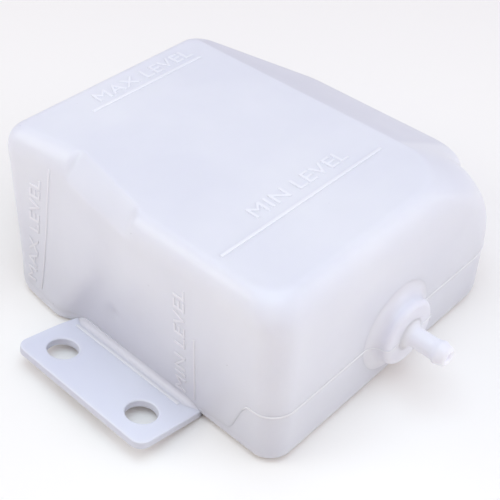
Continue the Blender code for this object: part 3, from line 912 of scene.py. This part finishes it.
# %% Hose stub
STUB_R = 0.0046
STUB_ROOT = 0.0034
tip = stub_high.x - outlet.x
profile = [(boss_top - 0.0060, 0.0030), (boss_top - 0.0060, 0.0078), (boss_top - 0.0038, 0.0078),
           (boss_top - 0.0038, STUB_R), (boss_top - 0.0002, 0.0048)]
profile += arc(boss_top - 0.00004 + STUB_ROOT, STUB_R + STUB_ROOT, STUB_ROOT, 184.0, 270.0, 14)
profile += [(boss_top + 0.0070, STUB_R), (tip - 0.0080, STUB_R), (tip - 0.0068, 0.00475)]
profile += arc(tip - 0.0044, 0.0030, 0.0024, 125.0, 60.0, 7)
profile += arc(tip - 0.0022, 0.0026, 0.0022, 56.0, 12.0, 8)
profile += [(tip, 0.0029), (tip - 0.0002, 0.0026), (tip - 0.0010, 0.0024), profile[0]]
stub = turned(profile, outlet, ALONG_X, 64, bored=True)
finish_piece(stub, "hose_stub", "tank", white_stub, 50.0)
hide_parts("outlet_nipple")

# %% [markdown]
# ## Mounting flange
#
# The flange is a thick plate with rounded rims. A circle primitive is raised row by row,
# and its points take the plate's outline, drawn in a little where the rims are round. A
# turned cutter with flared ends makes each hole and rounds its rims in one cut.

# %% Outline of the flange
FLANGE_OUT, FLANGE_T, FLANGE_Z = 0.0336, 0.0038, 0.0042
FLANGE_TILT = math.radians(12.5)
FLANGE_CORNER, FLANGE_RIM = 0.0056, 0.0007
SIDE_BACK_Y = -0.0068
WAIST_IN, WAIST_S = 0.0009, 0.014
BURIED_S = -0.0018
plate_up = Vector((0.0, math.sin(FLANGE_TILT), math.cos(FLANGE_TILT)))
plate_out = Vector((0.0, -math.cos(FLANGE_TILT), math.sin(FLANGE_TILT)))
root = origin + Vector((0.0, SIDE_BACK_Y, FLANGE_Z))


def on_plate(x, s, n):
    """A point by its place along the tank, away from the wall and above the plate."""
    return root + Vector((x, 0.0, 0.0)) + plate_out * s + plate_up * n


def plate_outline(inset):
    """Outline of the plate as (x, s), drawn in by an inset on its three free sides. The
    edge at the filler end curves in a little towards the wall."""
    x0, x1 = FLANGE_X0 + inset, FLANGE_X1 - inset
    out, r = FLANGE_OUT - inset, FLANGE_CORNER - inset
    ends = [BURIED_S + (out - r - BURIED_S) * j / 12 for j in range(12)]
    waist = [abs(s - WAIST_S) / WAIST_S if s < WAIST_S else 0.0 for s in ends]
    spots = [(x0 + WAIST_IN * share ** 2, s) for share, s in zip(waist, ends)]
    for j in range(13):
        a = math.pi / 2 * j / 12
        spots.append((x0 + r * (1 - math.cos(a)), out - r * (1 - math.sin(a))))
    spots += [(x0 + r + (x1 - x0 - 2 * r) * j / 16, out) for j in range(1, 16)]
    for j in range(13):
        a = math.pi / 2 * j / 12
        spots.append((x1 - r * (1 - math.sin(a)), out - r * (1 - math.cos(a))))
    spots += [(x1, s) for s in reversed(ends)]
    return spots


print("flange outline points:", len(plate_outline(0.0)))

# %% Flange plate
quarter = [math.pi / 2 * j / 5 for j in range(6)]
rows = [(FLANGE_RIM * (1 - math.sin(a)), -FLANGE_T + FLANGE_RIM * (1 - math.cos(a)))
        for a in quarter]
rows += [(FLANGE_RIM * (1 - math.cos(a)), -FLANGE_RIM * (1 - math.sin(a))) for a in quarter]
plate_grid = [[on_plate(x, s, n) for x, s in plate_outline(inset)] for inset, n in rows]
flange = loft(np.array(plate_grid), "both")
outward(flange)
print("plate faces:", len(flange.data.polygons))

# %% Bolt holes
HOLES, HOLE_S, HOLE_R = (-0.1052, -0.0550), 0.0194, 0.0069
PAST_FACE = 0.003
wide_r = HOLE_R + FLANGE_RIM
hole = [(-FLANGE_T - PAST_FACE, wide_r)]
hole += arc(-FLANGE_T + FLANGE_RIM, wide_r, FLANGE_RIM, 180.0, 270.0, 6)
hole += arc(-FLANGE_RIM, wide_r, FLANGE_RIM, -90.0, 0.0, 6)
hole += [(PAST_FACE, wide_r)]
for x in HOLES:
    boolean(flange, turned(hole, on_plate(x, HOLE_S, 0.0), plate_up, 64), "DIFFERENCE")
even = flange.modifiers.new("even", "WEIGHTED_NORMAL")
finish_piece(flange, "flange_plate", "tank", milky_flange, 32.0)
harden(flange, even)
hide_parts("mounting_flange")

# %% [markdown]
# ## Flange root
#
# A hollow radius leads from the plate up to the wall. Plate and wall meet at less than a
# right angle, so the arc is drawn tangent to both. It fades out at both ends.

# %% Root fillet
FILLET = 0.0026
STATIONS = 40
END_GAP = 0.0012
FADE_STATIONS = 4.0
UNDER_FACE = -0.0014


def fillet_section(radius):
    """Points (s, n): two buried corners and the hollow arc."""
    reach = radius * math.tan(math.pi / 4 + FLANGE_TILT / 2)
    points = [(BURIED_S, UNDER_FACE), (reach, UNDER_FACE)]
    for j in range(13):
        a = (math.pi / 2 + FLANGE_TILT) * j / 12
        points.append((reach - radius * math.sin(a), radius - radius * math.cos(a) - 0.00002))
    return points + [(BURIED_S, points[-1][1])]


fillet_grid = []
for j in range(STATIONS + 1):
    x = FLANGE_X0 + END_GAP + (FLANGE_X1 - FLANGE_X0 - 2 * END_GAP) * j / STATIONS
    fade = step((j + 0.6) / FADE_STATIONS) * step((STATIONS - j + 0.6) / FADE_STATIONS)
    fillet_grid.append([on_plate(x, s, n) for s, n in fillet_section(FILLET * fade)])
fillet = loft(np.array(fillet_grid), "both")
outward(fillet)
finish_piece(fillet, "flange_fillet", "tank", milky_boss, 40.0)

# %% [markdown]
# ## Raised marks
#
# The level lines and their words stand a third of a millimetre proud of the moulding.
# Each starts flat: a bar is a bevelled cube, and a word is a text object made a mesh. Its
# points are then laid on the wall, which is flat on the front and slightly curved on the
# side.

# %% Words and bars
MARK_HIGH = 0.00034
SUNK = 0.0008
LETTER_ROUND, LETTER_THIN = 0.00018, -0.00012
BAR_ROUND = 0.00040


def on_top(a, b):
    """True for an edge of a mark's flat top."""
    return min(a.z, b.z) > MARK_HIGH - 0.00001


def word(text, size, spacing=1.05):
    """Raised letters, flat on XY, reading along +X from the origin. They are welded
    shut, and the outline of their flat tops is marked sharp so that the tops stay flat."""
    bpy.ops.object.select_all(action="DESELECT")
    bpy.ops.object.text_add()
    piece = bpy.context.object
    letters = piece.data
    letters.body = text
    letters.size = size
    letters.space_character = spacing
    letters.resolution_u = 3
    letters.offset = LETTER_THIN
    letters.extrude = (MARK_HIGH + SUNK) / 2 - LETTER_ROUND
    letters.bevel_depth = LETTER_ROUND
    letters.bevel_resolution = 2
    bpy.ops.object.convert(target="MESH")
    piece = bpy.context.object
    outward(piece)
    low = min(v.co.z for v in piece.data.vertices)
    for vert in piece.data.vertices:
        vert.co.z -= low + SUNK
    pick(piece, "EDGE", on_top)
    bpy.ops.mesh.mark_sharp()
    bpy.ops.object.mode_set(mode="OBJECT")
    return piece


def bar(length, width):
    """A rounded bar along +X from the origin, with its top MARK_HIGH above XY."""
    bpy.ops.object.select_all(action="DESELECT")
    bpy.ops.mesh.primitive_cube_add(size=1.0)
    piece = bpy.context.object
    piece.scale = (length, width, MARK_HIGH + SUNK)
    piece.location = (length / 2, 0.0, (MARK_HIGH - SUNK) / 2)
    settle(piece)
    pick(piece, "EDGE", on_top)
    bpy.ops.mesh.bevel(offset=BAR_ROUND, segments=4, affect="EDGES")
    bpy.ops.mesh.select_all(action="SELECT")
    bpy.ops.object.mode_set(mode="OBJECT")
    return piece


print("marks stand proud by", MARK_HIGH)

# %% Lay marks on the tank
def wide(piece):
    """Where a flat mark starts and ends."""
    xs = [v.co.x for v in piece.data.vertices]
    return min(xs), max(xs)


def lay_front(piece, x, y0, y1=None):
    """Lay a mark on the front face, reading along +Y, its top towards the filler."""
    low, high = wide(piece)
    stretch = 1.0 if y1 is None else (y1 - y0) / (high - low)
    for vert in piece.data.vertices:
        u, v, h = vert.co
        vert.co = origin + Vector((x - v, y0 + (u - low) * stretch, depth + h))


def lay_side(piece, x, z0, z1, lean=0.0):
    """Lay a mark on the side wall, reading upwards, its top towards the filler."""
    low, high = wide(piece)
    for vert in piece.data.vertices:
        u, v, h = vert.co
        z = z0 + (u - low) * (z1 - z0) / (high - low)
        px = x - v + lean * (z - z0)
        vert.co = origin + Vector((px, near_y(px, z) - h, z))


def lay_plate(piece, x, s):
    """Lay a mark on the flange plate, along the wall."""
    for vert in piece.data.vertices:
        u, v, h = vert.co
        vert.co = on_plate(x + u, s + v, h)


# %% Bead on the flange
bead = bar(0.0656, 0.0017)
lay_plate(bead, -0.1148, 0.0039)
outward(bead)
finish_piece(bead, "flange_bead", "tank", milky_line)

# %% Marks on the front face
LINE_WIDE = 0.0016
LINES = {"high": (-0.1448, 0.0328, 0.0980), "low": (-0.0390, 0.0036, 0.0992)}
WORDS = {
    "high": ("MAX LEVEL", -0.1482, 0.0400, 0.0968),
    "low": ("MIN LEVEL", -0.0444, 0.0292, 0.0850),
}
LETTER_SIZE = 0.0098
for key, (x, y0, y1) in LINES.items():
    mark = bar(y1 - y0, LINE_WIDE)
    lay_front(mark, x, y0)
    outward(mark)
    finish_piece(mark, key + "_line", "tank", milky_mark)
for key, (text, x, y0, y1) in WORDS.items():
    mark = word(text, LETTER_SIZE)
    lay_front(mark, x, y0, y1)
    finish_piece(mark, key + "_word", "tank", milky_mark)

# %% [markdown]
# The marks on the side wall are smaller. The ones at the filler end lean a little towards
# the outlet as they rise, which is the last number of their rows.

# %% Marks on the side wall
SIDE_LINE_WIDE, SIDE_LETTER_SIZE = 0.0010, 0.0088
SIDE_LINES = {"high": (-0.1400, 0.0100, 0.0740, 0.055), "low": (-0.0438, 0.0090, 0.0440, 0.0)}
SIDE_WORDS = {
    "high": ("MAX LEVEL", -0.1446, 0.0110, 0.0660, 0.055),
    "low": ("MIN LEVEL", -0.0488, 0.0090, 0.0660, 0.0),
}
for key, (x, z0, z1, lean) in SIDE_LINES.items():
    mark = bar(z1 - z0, SIDE_LINE_WIDE)
    choose(mark)
    bpy.ops.object.mode_set(mode="EDIT")
    bpy.ops.mesh.select_all(action="SELECT")
    bpy.ops.mesh.subdivide(number_cuts=6)
    bpy.ops.object.mode_set(mode="OBJECT")
    lay_side(mark, x, z0, z1, lean)
    outward(mark)
    finish_piece(mark, key + "_side_line", "tank", milky_faint)
for key, (text, x, z0, z1, lean) in SIDE_WORDS.items():
    mark = word(text, SIDE_LETTER_SIZE)
    lay_side(mark, x, z0, z1, lean)
    finish_piece(mark, key + "_side_word", "tank", milky_faint)

# %% [markdown]
# ## Seam over the boss
#
# The mould line also runs over the outlet boss, from the wall up its side and across its
# end to the stub. It is a thin round cord half sunk in the surface, made from a curve.

# %% Boss seam
CORD_R = 0.00032
CORD_RIM = 0.0022
CORD_END_R = 0.0078


def seam_cord(side):
    """A cord from the wall over the boss, on its near side (-1) or far side (1)."""
    path = [(wall_s, BOSS_R + FLARE * FLARE_WIDE + 0.0030)]
    path += flare(0.0, 10)
    path += arc(boss_top - CORD_RIM, BOSS_R - CORD_RIM, CORD_RIM, 90.0, 0.0, 6)
    path += [(boss_top, CORD_END_R)]
    curve = bpy.data.curves.new("boss_seam", "CURVE")
    curve.dimensions = "3D"
    curve.bevel_depth = CORD_R
    curve.bevel_resolution = 3
    curve.use_fill_caps = True
    line = curve.splines.new("POLY")
    line.points.add(len(path) - 1)
    for point, (s, r) in zip(line.points, path):
        point.co = (outlet.x + s, outlet.y + side * r, outlet.z, 1.0)
    cord = bpy.data.objects.new("boss_seam", curve)
    bpy.context.collection.objects.link(cord)
    choose(cord)
    bpy.ops.object.convert(target="MESH")
    return bpy.context.object


for side, name in ((-1.0, "boss_seam_near"), (1.0, "boss_seam_far")):
    cord = seam_cord(side)
    outward(cord)
    finish_piece(cord, name, "tank", milky_line)

# %% [markdown]
# ## Filler parts
#
# The neck, cap, gasket and valve keep their own shapes from the frame. They only need
# their real finishes.

# %% Dress the frame's own pieces
for name, material in (
    ("filler_neck", white_stub), ("filler_cap", black_cap),
    ("cap_gasket", black_rubber), ("breather_valve", red_silicone),
):
    for slot in nodes[name].material_slots:
        slot.material = material
    print("dressed", name, "slots:", len(nodes[name].material_slots))

# %% [markdown]
# ## Studio
#
# A pale floor, one broad soft light overhead and three weaker ones round the tank. The
# plastic is nearly white, so the room has to be bright and even, and only the rounded
# edges pick out the lights.

# %% Floor
bpy.ops.object.select_all(action="DESELECT")
bpy.ops.mesh.primitive_plane_add(size=12.0, location=(0.0, 0.0, -0.0002))
floor = bpy.context.object
floor.name = "floor"
paper = bpy.data.materials.new("pale_floor")
paper.use_nodes = True
paper_shader = paper.node_tree.nodes["Principled BSDF"]
paper_shader.inputs["Base Color"].default_value = (1.0, 0.99, 0.94, 1.0)
paper_shader.inputs["Roughness"].default_value = 0.9
floor.data.materials.append(paper)
print("floor at z =", round(floor.location.z, 4))

# %% Lights
LIT_POINT = Vector((0.0, 0.0, 0.04))


def soft_light(name, place, size, power, colour):
    """A square area light aimed at the tank."""
    lamp = bpy.data.lights.new(name, "AREA")
    lamp.shape = "SQUARE"
    lamp.size = size
    lamp.energy = power
    lamp.color = colour
    holder = bpy.data.objects.new(name, lamp)
    bpy.context.collection.objects.link(holder)
    holder.location = place
    holder.rotation_mode = "QUATERNION"
    holder.rotation_quaternion = (LIT_POINT - Vector(place)).to_track_quat("-Z", "Y")
    print(name, "light:", power, "W")


soft_light("overhead", (0.10, -0.10, 1.30), 1.2, 9.6, (0.70, 0.87, 1.0))
soft_light("front_left", (-0.70, -0.92, 0.78), 0.75, 4.1, (0.95, 1.0, 0.96))
soft_light("front_right", (0.90, -0.90, 0.80), 0.9, 1.3, (1.0, 0.80, 0.40))
soft_light("back_right", (1.15, 0.72, 0.58), 1.2, 6.3, (0.88, 0.95, 1.0))

# %% Room
world = bpy.data.worlds.new("room")
bpy.context.scene.world = world
world.use_nodes = True
background = world.node_tree.nodes["Background"]
background.inputs["Color"].default_value = (1.0, 0.82, 0.89, 1.0)
background.inputs["Strength"].default_value = 0.45
bpy.context.scene.view_settings.view_transform = "Standard"
print("room light:", round(background.inputs["Strength"].default_value, 2))

# %% [markdown]
# ## Camera
#
# The camera looks down on the marked face, the flange side and the outlet, from the
# outlet's corner. It is turned about its own axis by a degree and a half.

# %% Camera
CAMERA_ROLL = -0.02734
camera_data = bpy.data.cameras.new("camera")
camera_data.lens = 72.28
camera_data.sensor_width = 36.0
camera = bpy.data.objects.new("camera", camera_data)
bpy.context.collection.objects.link(camera)
camera.location = (0.2350, -0.2484, 0.3277)
look = Vector((-0.50356, 0.55757, -0.65996))
level = look.to_track_quat("-Z", "Y")
camera.rotation_mode = "QUATERNION"
camera.rotation_quaternion = Quaternion(look, CAMERA_ROLL) @ level
bpy.context.scene.camera = camera
bpy.context.view_layer.update()
print("camera at", [round(v, 4) for v in camera.location])
